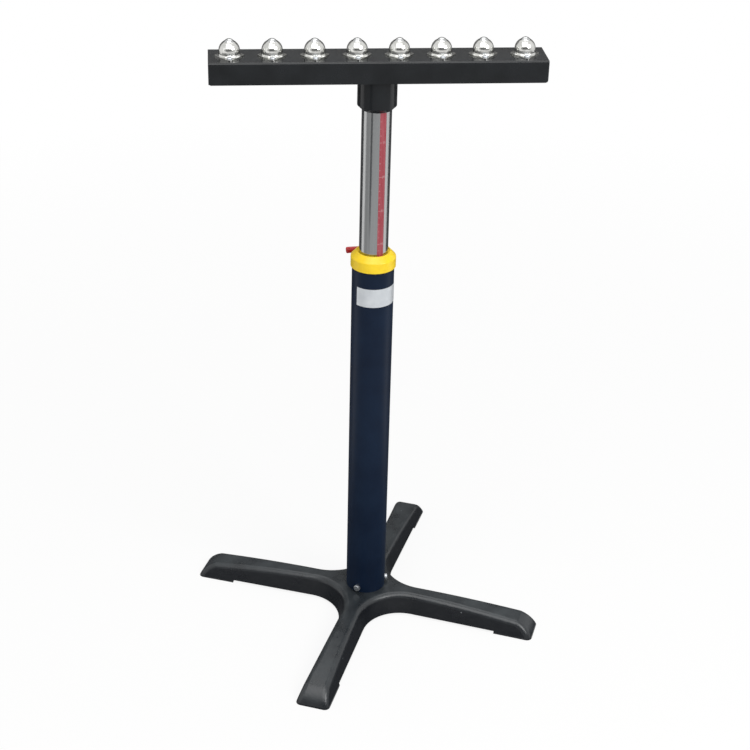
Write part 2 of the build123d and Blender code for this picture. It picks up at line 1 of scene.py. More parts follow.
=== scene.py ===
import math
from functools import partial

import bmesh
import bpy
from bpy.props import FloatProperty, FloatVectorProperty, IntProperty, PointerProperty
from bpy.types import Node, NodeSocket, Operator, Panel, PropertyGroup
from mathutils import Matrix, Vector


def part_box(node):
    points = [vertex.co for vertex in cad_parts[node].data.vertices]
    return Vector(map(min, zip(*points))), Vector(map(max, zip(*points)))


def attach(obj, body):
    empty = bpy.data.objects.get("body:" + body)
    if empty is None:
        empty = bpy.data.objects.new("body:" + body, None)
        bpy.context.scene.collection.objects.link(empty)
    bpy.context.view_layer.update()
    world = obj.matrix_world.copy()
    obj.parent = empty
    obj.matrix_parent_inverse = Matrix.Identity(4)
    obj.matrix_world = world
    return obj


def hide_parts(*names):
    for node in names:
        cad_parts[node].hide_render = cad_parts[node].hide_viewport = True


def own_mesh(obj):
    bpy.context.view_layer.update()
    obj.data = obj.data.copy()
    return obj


bl_info = {
    "name": "Ball Roller Stand",
    "version": (1, 0, 0),
    "blender": (4, 5, 0),
    "location": "View3D > Sidebar > Roller Stand",
    "description": "Finishes the ball roller stand, adds its small fittings and sets up a plain studio",
    "category": "Object",
}

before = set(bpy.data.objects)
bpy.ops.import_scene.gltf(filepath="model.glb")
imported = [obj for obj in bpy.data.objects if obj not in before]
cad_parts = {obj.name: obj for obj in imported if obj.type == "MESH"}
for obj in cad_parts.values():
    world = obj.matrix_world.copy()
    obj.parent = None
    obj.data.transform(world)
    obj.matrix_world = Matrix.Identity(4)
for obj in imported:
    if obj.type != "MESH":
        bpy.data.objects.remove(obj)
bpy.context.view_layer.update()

MM = 0.001
# Points closer than this are one
WELD = 0.0001 * MM
# How far a piece that is welded to another one reaches into it
SINK = 0.05 * MM


def srgb(code):
    """Linear colour of an sRGB hex value such as 1a2b3c."""
    parts = [int(code[i : i + 2], 16) / 255 for i in (0, 2, 4)]
    return tuple(c / 12.92 if c <= 0.04045 else ((c + 0.055) / 1.055) ** 2.4 for c in parts)


def colour(name, description, code):
    """Colour setting with its default as an sRGB hex value."""
    return FloatVectorProperty(
        name=name, description=description, default=srgb(code), subtype="COLOR", size=3, min=0, max=1
    )


def length(name, description, millimetres):
    """Length setting with its default in millimetres."""
    return FloatProperty(
        name=name, description=description, default=millimetres * MM, unit="LENGTH", min=0, precision=5
    )


def power(name, description, watts):
    """Setting for a lamp's power."""
    return FloatProperty(name=name, description=description, default=watts, unit="POWER", min=0)


# Settings


class StandColours(PropertyGroup):
    casting: colour("Casting", "Black enamel on the base casting", "0b0f15")
    # Paler grey on the casting's upward faces: partly dust, partly painted top light
    casting_dust: colour("Casting Dust", "Grey film on the casting's upward faces", "363b3e")
    # The outer tube's black carries a painted blue reflection
    tube: colour("Outer Tube", "Black powder coat on the outer tube", "0a182c")
    head: colour("Head", "Gloss black enamel on the head and its sleeve", "101214")
    collar: colour("Collar", "Yellow plastic of the clamp collar", "f6d41a")
    lever: colour("Lever", "Red plastic of the lever handle", "c8161d")
    scale: colour("Scale", "Red film of the height scale", "922b37")
    scale_ink: colour("Scale Ink", "Pale ink of the height scale's marks", "c9a0a3")
    label: colour("Label", "Silver film of the column's label", "d8dce0")
    chrome: colour("Chrome", "Chromium plate on the inner tube", "c4c5c5")
    bright_plate: colour("Bright Plate", "Nickel plate on the pressed housings", "dcdcd9")
    ball: colour("Balls", "Polished steel of the balls and their cups", "c9caca")
    zinc: colour("Zinc", "Zinc plate on the screws and nuts", "c2c4c6")
    spring: colour("Spring", "Oiled steel of the clamp's spring and the snap rings", "8b8c8e")
    brass: colour("Brass", "Turned brass of the pressure pad", "c8a24a")
    bush: colour("Bushes", "Natural acetal of the bushes and the plug", "dcdad0")


class StandSizes(PropertyGroup):
    tick_step: length("Tick Step", "Distance between two marks of the scale", 10)
    tick_line: length("Tick Line", "Height of one mark's line", 0.5)
    tick_edge: length("Tick Edge", "Distance from the scale's middle line to where its marks start", 4.4)
    short_tick: length("Short Tick", "Length of a mark", 2.2)
    long_tick: length("Long Tick", "Length of a mark that has a number", 3.6)
    ticks_per_number: IntProperty(
        name="Ticks Per Number", description="Marks from one number to the next", default=5, min=1, max=10
    )
    number_height: length("Number Height", "Letter size of the scale's numbers", 4.5)
    number_shift: length("Number Shift", "Distance of the numbers from the scale's middle line", 1.9)
    ink_thickness: length("Ink Thickness", "How far the ink stands off the film", 0.04)
    weld_length: length("Weld Length", "Length of a weld bead", 16)
    weld_throat: length("Weld Throat", "How far a bead reaches into the pieces that it joins", 0.5)
    weld_ripple: length("Weld Ripple", "Distance between two ripples of a bead", 1.1)
    plug_weld: length("Plug Weld", "Width of a plug weld on the head's walls", 7)
    plug_weld_crown: length("Plug Weld Crown", "How far a plug weld stands off the wall", 0.45)
    plug_weld_shift: length("Plug Weld Shift", "Distance of the plug welds from the column's axis", 3)
    head_diameter: length("Screw Head Diameter", "Diameter of a flange screw's head", 8)
    head_height: length("Screw Head Height", "Height of a flange screw's head", 2.6)
    dome_diameter: length("Dome Diameter", "Outer diameter of a ball housing's dome", 28.2)
    draw_radius: length("Draw Radius", "Radius between a ball housing's dome and its flange", 2.4)
    screw_diameter: length("Screw Diameter", "Outer diameter of a flange screw's thread", 4)
    thread_pitch: length("Thread Pitch", "Pitch of the flange screws' thread", 0.7)
    thread_length: length("Thread Length", "Length of the flange screws' thread", 4.2)
    thread_depth: length("Thread Depth", "Depth of the flange screws' thread", 0.3)
    recess_width: length("Recess Width", "Width of a slot of the cross recess", 1.1)
    recess_span: length("Recess Span", "Length of a slot of the cross recess", 4.4)
    recess_depth: length("Recess Depth", "Depth of the cross recess", 1.5)
    spring_wire: length("Spring Wire", "Wire diameter of the clamp's spring", 0.7)
    spring_turns: FloatProperty(
        name="Spring Turns", description="Turns of the clamp's spring", default=3.5, min=1, max=12
    )
    spring_squash: FloatProperty(
        name="Spring Squash",
        description="Share of its length that the spring keeps when the lever is lifted",
        default=0.48,
        min=0.1,
        max=1,
        subtype="FACTOR",
    )
    segments: IntProperty(
        name="Segments", description="Segments round a small turned piece", default=32, min=12, max=96
    )


class StandStudio(PropertyGroup):
    floor: colour("Floor", "Pale paint of the studio's floor", "f1f1f0")
    pale_mat: colour("Pale Mat", "Grey cloth in front of the stand that metal reflects", "b4b5b6")
    dark_mat: colour("Dark Mat", "Dark cloth round the stand that metal reflects", "5a5b5d")
    back_flag: colour("Back Flag", "Grey cloth upright behind the stand that metal reflects", "989898")
    front_flag: colour("Front Flag", "Grey cloth upright behind the camera that metal reflects", "868788")
    floor_span: length("Floor Span", "Side of the studio's floor", 30000)
    lens: FloatProperty(
        name="Lens", description="Focal length of the camera", default=77.67, min=10, unit="CAMERA"
    )
    camera_place: FloatVectorProperty(
        name="Camera Place",
        description="Where the camera stands",
        default=(-0.2117, -2.0701, 1.5671),
        subtype="TRANSLATION",
        unit="LENGTH",
        precision=5,
    )
    camera_turn: FloatVectorProperty(
        name="Camera Turn",
        description="Heading, downward pitch and roll of the camera",
        default=(math.radians(-6.023), math.radians(29.113), math.radians(1.483)),
        subtype="EULER",
        unit="ROTATION",
        precision=5,
    )
    white_share: FloatProperty(
        name="White Share",
        description="Share of plain white in what the eye sees of the floor near the stand",
        default=0.86,
        min=0,
        max=1,
        subtype="FACTOR",
    )
    shadow_reach: length("Shadow Reach", "How far from the stand the floor keeps its whole shadow", 400)
    white_reach: length("White Reach", "Distance from the stand at which the floor is plain white", 2200)
    world_light: FloatProperty(
        name="World Light",
        description="Strength of the even light",
        default=0.36,
        min=0,
        max=1,
        subtype="FACTOR",
    )
    key_power: power("Key Power", "Power of the key light on the right", 44)
    front_power: power("Front Power", "Power of the light above the camera", 45)
    fill_power: power("Fill Power", "Power of the fill light on the left", 3)
    back_power: power("Back Power", "Power of the light above and behind", 12)


class StandSettings(PropertyGroup):
    colours: PointerProperty(type=StandColours, name="Colours", description="Colours of the stand's pieces")
    sizes: PointerProperty(type=StandSizes, name="Sizes", description="Sizes of the small fittings")
    studio: PointerProperty(type=StandStudio, name="Studio", description="Floor, lights, cloths and camera")


def stand_settings():
    """Colours and sizes of the stand, kept on the scene."""
    stand = bpy.context.scene.roller_stand
    return stand.colours, stand.sizes


# Shader helpers

# A pattern's stretch: a share below 1 draws it out along that axis
EVEN = (1, 1, 1)
ALONG_Z = (1, 1, 0.02)
ROUND_Z = (0.15, 0.15, 1)
ROUND_Y = (0.15, 1, 0.15)
STROKES_Z = (1, 1, 0.06)
FLOW_X = (0.3, 1, 1)
# Steel and nickel reflect less where they turn away from the eye, which draws a grey line round a dome
EDGE_TINT = (0.5, 0.5, 0.5)


def add_node(tree, kind, inputs=None, **settings):
    """Add a node with its settings; each input is a value, or the node or socket that feeds it, or None."""
    item = tree.nodes.new(kind)
    for key, value in settings.items():
        setattr(item, key, value)
    for key, value in (inputs or {}).items():
        if value is None:
            continue
        if isinstance(key, int):
            socket = item.inputs[key]
        else:
            socket = next(s for s in item.inputs if s.enabled and s.name == key)
        if isinstance(value, Node):
            value = next(s for s in value.outputs if s.enabled)
        if isinstance(value, NodeSocket):
            tree.links.new(value, socket)
        elif socket.type == "RGBA":
            socket.default_value = (*value, 1)
        else:
            socket.default_value = value
    return item


def start_material(name):
    """New material, the function that adds nodes to it, and the socket with places on the piece in metres."""
    material = bpy.data.materials.new(name)
    material.use_nodes = True
    material.node_tree.nodes.clear()
    add = partial(add_node, material.node_tree)
    return material, add, add("ShaderNodeTexCoord").outputs["Object"]


def finish(name, tones, cloud_mm, roughness, reliefs=(), stretch=EVEN, edge_mm=0, **values):
    """Material of one tone, or of two that mix in clouds, with a range of roughness, reliefs and soft edges.

    Each relief is a size in millimetres, a depth in millimetres and a stretch. The values go to the
    shader's own sockets.
    """
    material, add, places = start_material(name)
    inputs = {key.replace("_", " "): value for key, value in values.items()}
    stretched = add("ShaderNodeMapping", {"Vector": places, "Scale": stretch})
    cloud = add("ShaderNodeTexNoise", {"Vector": stretched, "Scale": 1 / (cloud_mm * MM), "Detail": 3})
    # Most of a noise's values lie between 0.3 and 0.7
    share = add("ShaderNodeMapRange", {"Value": cloud, "From Min": 0.3, "From Max": 0.7})
    inputs["Base Color"] = tones[0]
    if len(tones) > 1:
        mix = {"Factor": share, "A": tones[0], "B": tones[1]}
        inputs["Base Color"] = add("ShaderNodeMix", mix, data_type="RGBA")
    low, high = roughness
    inputs["Roughness"] = add("ShaderNodeMapRange", {"Value": share, "To Min": low, "To Max": high})
    normal = add("ShaderNodeBevel", {"Radius": edge_mm * MM}, samples=4) if edge_mm else None
    for size_mm, depth_mm, grain_stretch in reliefs:
        stretched = add("ShaderNodeMapping", {"Vector": places, "Scale": grain_stretch})
        grain = add("ShaderNodeTexNoise", {"Vector": stretched, "Scale": 1 / (size_mm * MM), "Detail": 3})
        normal = add("ShaderNodeBump", {"Height": grain, "Distance": depth_mm * MM, "Normal": normal})
    inputs["Normal"] = normal
    surface = add("ShaderNodeBsdfPrincipled", inputs)
    add("ShaderNodeOutputMaterial", {"Surface": surface})
    return material


# Materials


def cast_iron_enamelled(colours):
    # Grey cast iron from a sand mould, sprayed black: the paint follows the sand's pebbling, the upward
    # faces are paler grey in patches, partly dust and partly painted top light that lifts them above the
    # sides, and a few knocks show bare metal
    bare_iron = srgb("9da2a6")
    dust_and_top_light_patch = 34 * MM
    knock_cell = 16 * MM
    swell = 14 * MM
    # The mould's sand is 0.3 mm, drawn coarser, or it wouldn't show
    sand_grain = 1.8 * MM
    material, add, places = start_material("cast_iron_sand_cast_enamelled_black")
    cloud = add("ShaderNodeTexNoise", {"Vector": places, "Scale": 1 / dust_and_top_light_patch, "Detail": 4})
    share = add("ShaderNodeMapRange", {"Value": cloud, "From Min": 0.3, "From Max": 0.75})
    facing = add("ShaderNodeSeparateXYZ", {"Vector": add("ShaderNodeNewGeometry").outputs["Normal"]})
    # Upward faces get the paler grey, which is partly dust and partly painted light from above
    upward = add("ShaderNodeMapRange", {"Value": facing.outputs["Z"], "From Min": 0.3, "From Max": 0.97})
    patches = add("ShaderNodeMapRange", {"Value": share, "To Min": 0.25, "To Max": 1.0})
    dust_and_top_light = add("ShaderNodeMath", {0: upward, 1: patches}, operation="MULTIPLY")
    dust_and_top_light_mix = {"Factor": dust_and_top_light, "A": colours.casting, "B": colours.casting_dust}
    paint = add("ShaderNodeMix", dust_and_top_light_mix, data_type="RGBA")
    # A knock is about 1 mm across, and one cell in a dozen has one
    cells = add("ShaderNodeTexVoronoi", {"Vector": places, "Scale": 1 / knock_cell})
    dot = add("ShaderNodeMapRange", {"Value": cells.outputs["Distance"], "From Min": 0.05, "From Max": 0.035})
    lot = add("ShaderNodeSeparateColor", {"Color": cells.outputs["Color"]})
    drawn = add("ShaderNodeMath", {0: lot, 1: 0.92}, operation="GREATER_THAN")
    knock = add("ShaderNodeMath", {0: dot, 1: drawn}, operation="MULTIPLY")
    base = add("ShaderNodeMix", {"Factor": knock, "A": paint, "B": bare_iron}, data_type="RGBA")
    rounded = add("ShaderNodeBevel", {"Radius": 0.8 * MM}, samples=4)
    swells = add("ShaderNodeTexNoise", {"Vector": places, "Scale": 1 / swell, "Detail": 3})
    waved = add("ShaderNodeBump", {"Height": swells, "Distance": 0.25 * MM, "Normal": rounded})
    grit = add("ShaderNodeTexNoise", {"Vector": places, "Scale": 1 / sand_grain, "Detail": 4})
    sand = add("ShaderNodeBump", {"Height": grit, "Distance": 0.07 * MM, "Normal": waved})
    gloss = add("ShaderNodeMapRange", {"Value": share, "To Min": 0.24, "To Max": 0.38})
    surface = add(
        "ShaderNodeBsdfPrincipled", {"Base Color": base, "Roughness": gloss, "IOR": 1.5, "Normal": sand}
    )
    add("ShaderNodeOutputMaterial", {"Surface": surface})
    return material


def tube_powder_coated(colours):
    # Steel tube with a baked black powder coat: even and satin, with an orange peel of 2.4 mm; the blue cast
    # of both its tones is painted reflection of blue surroundings
    return finish(
        "steel_tube_powder_coated_black",
        tones=(colours.tube, srgb("0f2036")),
        cloud_mm=60,
        roughness=(0.36, 0.44),
        reliefs=[(2.4, 0.02, EVEN)],
        edge_mm=0.4,
        IOR=1.5,
        Specular_IOR_Level=0.18,
    )


def sheet_enamelled(colours):
    # Folded steel sheet in wet-sprayed gloss enamel: deep black and shiny, with slow waves of 24 mm in the
    # sheet and the spray's fine texture of 1.2 mm
    return finish(
        "steel_sheet_enamelled_gloss_black",
        tones=(colours.head, srgb("181b1e")),
        cloud_mm=45,
        roughness=(0.15, 0.24),
        reliefs=[(24, 0.08, EVEN), (1.2, 0.008, EVEN)],
        edge_mm=0.5,
        IOR=1.5,
        Specular_IOR_Level=0.36,
    )


def yellow_polyamide(colours):
    # Moulded polyamide in yellow: a satin skin with a grain of 0.9 mm that light enters a little, and
    # patches of 14 mm that hands have dulled
    return finish(
        "polyamide_moulded_yellow",
        tones=(colours.collar, srgb("ecc60f")),
        cloud_mm=14,
        roughness=(0.3, 0.42),
        reliefs=[(0.9, 0.008, EVEN)],
        edge_mm=0.5,
        IOR=1.53,
        Subsurface_Weight=0.06,
        Subsurface_Radius=(0.9 * MM, 0.7 * MM, 0.1 * MM),
    )


def red_polyamide(colours):
    # Moulded polyamide in red: satin, with a grain of 0.7 mm and faint flow marks of 5 mm along the arm
    return finish(
        "polyamide_moulded_red",
        tones=(colours.lever, srgb("a90f16")),
        cloud_mm=5,
        roughness=(0.28, 0.4),
        reliefs=[(0.7, 0.008, EVEN)],
        stretch=FLOW_X,
        edge_mm=0.4,
        IOR=1.53,
    )


def natural_acetal(colours):
    # Turned acetal in its own off-white: waxy, with turning marks of 0.6 mm round the axis
    return finish(
        "acetal_turned_natural",
        tones=(colours.bush, srgb("cbc8bb")),
        cloud_mm=12,
        roughness=(0.35, 0.45),
        reliefs=[(0.6, 0.01, ROUND_Z)],
        edge_mm=0.3,
        IOR=1.48,
    )


def tube_chromed(colours):
    # Ground steel tube with hard chromium plate: bright, with rub marks along it where the bush slides;
    # the paler and darker streaks of its colour along it are painted reflection. The real marks are a few
    # hundredths of a millimetre wide; they are drawn at 1.3 mm, or they wouldn't show
    return finish(
        "steel_tube_ground_chromed",
        tones=(colours.chrome, srgb("aeafaf")),
        cloud_mm=9,
        roughness=(0.1, 0.2),
        reliefs=[(1.3, 0.006, ALONG_Z)],
        stretch=ALONG_Z,
        Metallic=1.0,
    )


def red_film(colours):
    # Printed polyester film on the inner tube: even red under a clear skin, rubbed paler in strokes of 2.6 mm
    return finish(
        "polyester_film_printed_red",
        tones=(colours.scale, srgb("a04751")),
        cloud_mm=2.6,
        roughness=(0.22, 0.36),
        stretch=STROKES_Z,
        IOR=1.6,
        Coat_Weight=0.3,
        Coat_Roughness=0.15,
    )


def pale_ink(colours):
    # Screen-printed ink of the marks and numbers: flat, and thin enough in spots of 1.5 mm for the red to
    # tint it
    return finish(
        "ink_screen_printed_pale",
        tones=(colours.scale_ink, srgb("b07479")),
        cloud_mm=1.5,
        roughness=(0.45, 0.6),
        IOR=1.5,
    )


def silver_film(colours):
    # Metallised polyester label, left blank: silvery, with a satin sheen and soft creases of 9 mm
    return finish(
        "polyester_film_metallised",
        tones=(colours.label, srgb("c8cdd2")),
        cloud_mm=16,
        roughness=(0.3, 0.4),
        reliefs=[(9, 0.04, EVEN)],
        IOR=1.6,
        Metallic=0.3,
    )


def pressing_nickel_plated(colours):
    # Deep-drawn steel with bright nickel plate: shiny, with faint rings of the draw every 0.8 mm
    return finish(
        "steel_deep_drawn_nickel_plated",
        tones=(colours.bright_plate, srgb("c3c3bf")),
        cloud_mm=6,
        roughness=(0.12, 0.22),
        reliefs=[(0.8, 0.004, ROUND_Z)],
        edge_mm=0.3,
        Metallic=1.0,
        Specular_Tint=EDGE_TINT,
    )


def bearing_steel(colours):
    # Bearing steel, hardened and lapped: a mirror, with spots of 1.2 mm that rolling work has dulled a little
    return finish(
        "bearing_steel_lapped",
        tones=(colours.ball, srgb("b2b3b3")),
        cloud_mm=1.2,
        roughness=(0.05, 0.12),
        Metallic=1.0,
        Specular_Tint=EDGE_TINT,
    )


def zinc_plated(colours):
    # Turned and rolled steel with bright zinc plate: silvery and slightly blue, in clouds of 2.2 mm
    return finish(
        "steel_turned_zinc_plated",
        tones=(colours.zinc, srgb("b0b5ba")),
        cloud_mm=2.2,
        roughness=(0.34, 0.48),
        edge_mm=0.15,
        Metallic=1.0,
    )


def spring_steel(colours):
    # Hard-drawn spring wire, oiled: dark grey and shiny, with a mottle of 0.4 mm where the oil is thin
    return finish(
        "spring_steel_drawn_oiled",
        tones=(colours.spring, srgb("6d6e70")),
        cloud_mm=0.4,
        roughness=(0.22, 0.38),
        Metallic=1.0,
    )


def turned_brass(colours):
    # Free-cutting brass from the lathe: warm yellow, with turning rings of 0.4 mm
    return finish(
        "brass_turned",
        tones=(colours.brass, srgb("b08a3a")),
        cloud_mm=3,
        roughness=(0.2, 0.32),
        reliefs=[(0.4, 0.006, ROUND_Y)],
        Metallic=1.0,
    )


def give(material, *names):
    """Put one material in every slot of these CAD nodes."""
    for name in names:
        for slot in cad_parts[name].material_slots:
            slot.material = material


# Mesh helpers


def make_mesh(name, points, faces, smooth_angle=0, closed=False):
    """Mesh that is smooth up to an angle in degrees; a closed one gets its normals turned outwards."""
    mesh = bpy.data.meshes.new(name)
    mesh.from_pydata(points, [], faces)
    if closed:
        work = bmesh.new()
        work.from_mesh(mesh)
        bmesh.ops.remove_doubles(work, verts=work.verts, dist=WELD)
        bmesh.ops.recalc_face_normals(work, faces=work.faces)
        work.to_mesh(mesh)
        work.free()
    if smooth_angle:
        mesh.shade_smooth()
        mesh.set_sharp_from_angle(angle=math.radians(smooth_angle))
    return mesh


def new_object(name, data, material=None):
    """Object in the scene with this data and, for a mesh, its material."""
    item = bpy.data.objects.new(name, data)
    bpy.context.scene.collection.objects.link(item)
    if material:
        data.materials.clear()
        data.materials.append(material)
    return item


def new_piece(name, mesh, material, body):
    """Piece of the stand that rides on a body."""
    piece = new_object(name, mesh, material)
    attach(piece, body)
    return piece


def rings_mesh(rings, cap=True):
    """Points and faces of a skin over rings that all have as many points, with its ends closed."""
    count = len(rings[0])
    points = [point for ring in rings for point in ring]
    faces = []
    for row in range(len(rings) - 1):
        low = row * count
        for i in range(count):
            j = (i + 1) % count
            faces.append([low + i, low + j, low + count + j, low + count + i])
    if cap:
        faces.append(list(range(count)))
        faces.append([len(points) - count + i for i in range(count)])
    return points, faces


def flat_circle(radius, segments):
    """Points of a circle in its own plane."""
    turns = [2 * math.pi * i / segments for i in range(segments)]
    return [(radius * math.cos(turn), radius * math.sin(turn)) for turn in turns]


def circle(radius, height, segments):
    """Points of a circle round +Z."""
    return [(x, y, height) for x, y in flat_circle(radius, segments)]


def join(skins):
    """Points and faces of several skins as one."""
    points = []
    faces = []
    for skin_points, skin_faces in skins:
        start = len(points)
        points += skin_points
        faces += [[start + i for i in face] for face in skin_faces]
    return points, faces


def repeat(points, faces, places):
    """The same points and faces once at each place."""
    return join(([tuple(Vector(point) + place) for point in points], faces) for place in places)


def wrap(x, z, radius, azimuth):
    """Point on a cylinder round the column, x along its round from an azimuth."""
    turn = azimuth + x / radius
    return (radius * math.cos(turn), radius * math.sin(turn), z)


def ball_names():
    """Names of the large balls' nodes."""
    return sorted(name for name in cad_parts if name.startswith("ball_") and name[5:].isdigit())


def screw_places(sizes):
    """Where the flange screws' heads sit."""
    low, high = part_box("flange_screws")
    rows = (low.y + sizes.head_diameter / 2, high.y - sizes.head_diameter / 2)
    middles = [sum(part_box(name), Vector()) / 2 for name in ball_names()]
    return [Vector((middle.x, y, high.z - sizes.head_height)) for middle in middles for y in rows]


# Operators


class STAND_OT_base(Operator):
    """Finish the base casting and the screws at the column's foot"""

    bl_idname = "stand.base"
    bl_label = "Base Casting"

    def execute(self, context):
        colours = context.scene.roller_stand.colours
        give(cast_iron_enamelled(colours), "base_casting")
        give(zinc_plated(colours), "base_screws")
        return {"FINISHED"}


class STAND_OT_column(Operator):
    """Finish the outer tube and its blank label"""

    bl_idname = "stand.column"
    bl_label = "Outer Column"

    def execute(self, context):
        colours = context.scene.roller_stand.colours
        give(tube_powder_coated(colours), "outer_tube")
        give(silver_film(colours), "column_label")
        return {"FINISHED"}


class STAND_OT_collar(Operator):
    """Finish the clamp collar with its bush and threaded insert"""

    bl_idname = "stand.collar"
    bl_label = "Clamp Collar"

    def execute(self, context):
        colours = context.scene.roller_stand.colours
        give(yellow_polyamide(colours), "lock_collar")
        give(natural_acetal(colours), "top_bush")
        give(zinc_plated(colours), "thread_insert")
        return {"FINISHED"}


class STAND_OT_mast(Operator):
    """Finish the chromed inner tube, its guide bush, its rings and its plug"""

    bl_idname = "stand.mast"
    bl_label = "Inner Tube"

    def execute(self, context):
        colours = context.scene.roller_stand.colours
        give(tube_chromed(colours), "inner_tube")
        give(natural_acetal(colours), "guide_bush", "tube_plug")
        give(spring_steel(colours), "bush_rings")
        return {"FINISHED"}


class STAND_OT_scale(Operator):
    """Finish the red height scale and print its marks and numbers"""

    bl_idname = "stand.scale"
    bl_label = "Height Scale"

    def execute(self, context):
        colours, sizes = stand_settings()
        give(red_film(colours), "height_scale")
        ink = pale_ink(colours)
        low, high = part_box("height_scale")
        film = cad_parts["height_scale"].data.vertices
        radius = max(vertex.co.xy.length for vertex in film) + sizes.ink_thickness
        azimuth = math.atan2(low.y + high.y, low.x + high.x)
        # A mark reads the working height at which it reaches the collar's top edge, counted in tick steps.
        # The first and the last mark stay half a step or more from the film's ends
        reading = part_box("ball_1")[1].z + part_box("lock_collar")[1].z
        first = math.ceil((reading - high.z) / sizes.tick_step + 0.5)
        last = math.floor((reading - low.z) / sizes.tick_step - 0.5)
        marks = {count: reading - count * sizes.tick_step for count in range(first, last + 1)}
        self.ticks(sizes, marks, radius, azimuth, ink)
        self.numbers(sizes, marks, radius, azimuth, ink)
        return {"FINISHED"}

    def ticks(self, sizes, marks, radius, azimuth, ink):
        """Short marks, and a longer one beside each number."""
        steps = 4
        faces = [[2 * i, 2 * i + 2, 2 * i + 3, 2 * i + 1] for i in range(steps)]
        skins = []
        for count, height in marks.items():
            run = sizes.short_tick if count % sizes.ticks_per_number else sizes.long_tick
            points = []
            for i in range(steps + 1):
                x = run * i / steps - sizes.tick_edge
                for z in (height - sizes.tick_line / 2, height + sizes.tick_line / 2):
                    points.append(wrap(x, z, radius, azimuth))
            skins.append((points, faces))
        mesh = make_mesh("scale_ticks", *join(skins), 60)
        new_piece("scale_ticks", mesh, ink, "mast")

    def numbers(self, sizes, marks, radius, azimuth, ink):
        """Plain numbers beside the long marks, bent to the tube."""
        skins = []
        for count, height in marks.items():
            if count % sizes.ticks_per_number:
                continue
            curve = bpy.data.curves.new("number", "FONT")
            curve.body = str(count)
            curve.size = sizes.number_height
            curve.align_x = "CENTER"
            curve.align_y = "CENTER"
            curve.resolution_u = 3
            writer = bpy.data.objects.new("number", curve)
            shape = bpy.data.meshes.new_from_object(writer)
            flat = [vertex.co for vertex in shape.vertices]
            points = [wrap(sizes.number_shift + co.x, height + co.y, radius, azimuth) for co in flat]
            skins.append((points, [list(face.vertices) for face in shape.polygons]))
            bpy.data.objects.remove(writer)
            bpy.data.curves.remove(curve)
            bpy.data.meshes.remove(shape)
        mesh = make_mesh("scale_numbers", *join(skins))
        new_piece("scale_numbers", mesh, ink, "mast")


class STAND_OT_head(Operator):
    """Finish the head's channel and sleeve and lay the welds between them"""

    bl_idname = "stand.head"
    bl_label = "Head"

    def execute(self, context):
        colours, sizes = stand_settings()
        enamel = sheet_enamelled(colours)
        give(enamel, "head_channel", "head_sleeve", "head_welds")
        self.beads(sizes, enamel)
        self.plug_welds(sizes, enamel)
        return {"FINISHED"}

    def beads(self, sizes, enamel):
        """Rippled beads between the sleeve and the channel's long walls."""
        rows_per_ripple = 6
        # Shares of a bead's depth: a ripple's rise, what is left at the ends, and the height
        ripple_share = 0.1
        end_share = 0.2
        height_share = 0.8
        sleeve_low, sleeve_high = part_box("head_sleeve")
        weld_low, weld_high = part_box("head_welds")
        sleeve_radius = (sleeve_high.x - sleeve_low.x) / 2
        wall = weld_high.y
        height = (weld_low.z + weld_high.z) / 2
        rows = round(sizes.weld_length / sizes.weld_ripple * rows_per_ripple)
        skins = []
        for side in (-1, 1):
            rings = []
            for row in range(rows + 1):
                x = sizes.weld_length * (row / rows - 0.5)
                sleeve_y = math.sqrt(sleeve_radius**2 - x**2)
                taper = max(end_share, math.sqrt(1 - (2 * row / rows - 1) ** 4))
                ripple = 1 + ripple_share * abs(math.sin(math.pi * x / sizes.weld_ripple))
                swell = ((wall - sleeve_y) / 2 + sizes.weld_throat) * ripple * taper
                middle = (wall + sleeve_y) / 2
                flat = flat_circle(swell, sizes.segments // 2)
                rings.append([(x, side * min(middle + y, wall), height + height_share * z) for y, z in flat])
            skins.append(rings_mesh(rings))
        mesh = make_mesh("weld_beads", *join(skins), 70, True)
        beads = new_piece("weld_beads", mesh, enamel, "mast")
        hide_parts("head_welds")

    def plug_welds(self, sizes, enamel):
        """Painted-over plug welds on the long walls, behind which the sleeve is fixed."""
        rows = 5
        # Shares of a weld's width: the flat middle, and the height
        middle_share = 0.05
        height_share = 0.6
        weld_low, weld_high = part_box("head_welds")
        place = Vector((sizes.plug_weld_shift, 0, (weld_low.z + weld_high.z) / 2))
        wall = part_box("head_channel")[1].y - sizes.plug_weld_crown
        skins = []
        for side in (-1, 1):
            rings = []
            for row in range(rows + 1):
                turn = math.pi / 2 * row / rows
                reach = sizes.plug_weld / 2 * max(math.cos(turn), middle_share)
                out = side * (wall + sizes.plug_weld_crown * math.sin(turn))
                flat = flat_circle(reach, sizes.segments)
                rings.append([(place.x + x, out, place.z + height_share * z) for x, z in flat])
            skins.append(rings_mesh(rings))
        mesh = make_mesh("plug_welds", *join(skins), 60, True)
        new_piece("plug_welds", mesh, enamel, "mast")


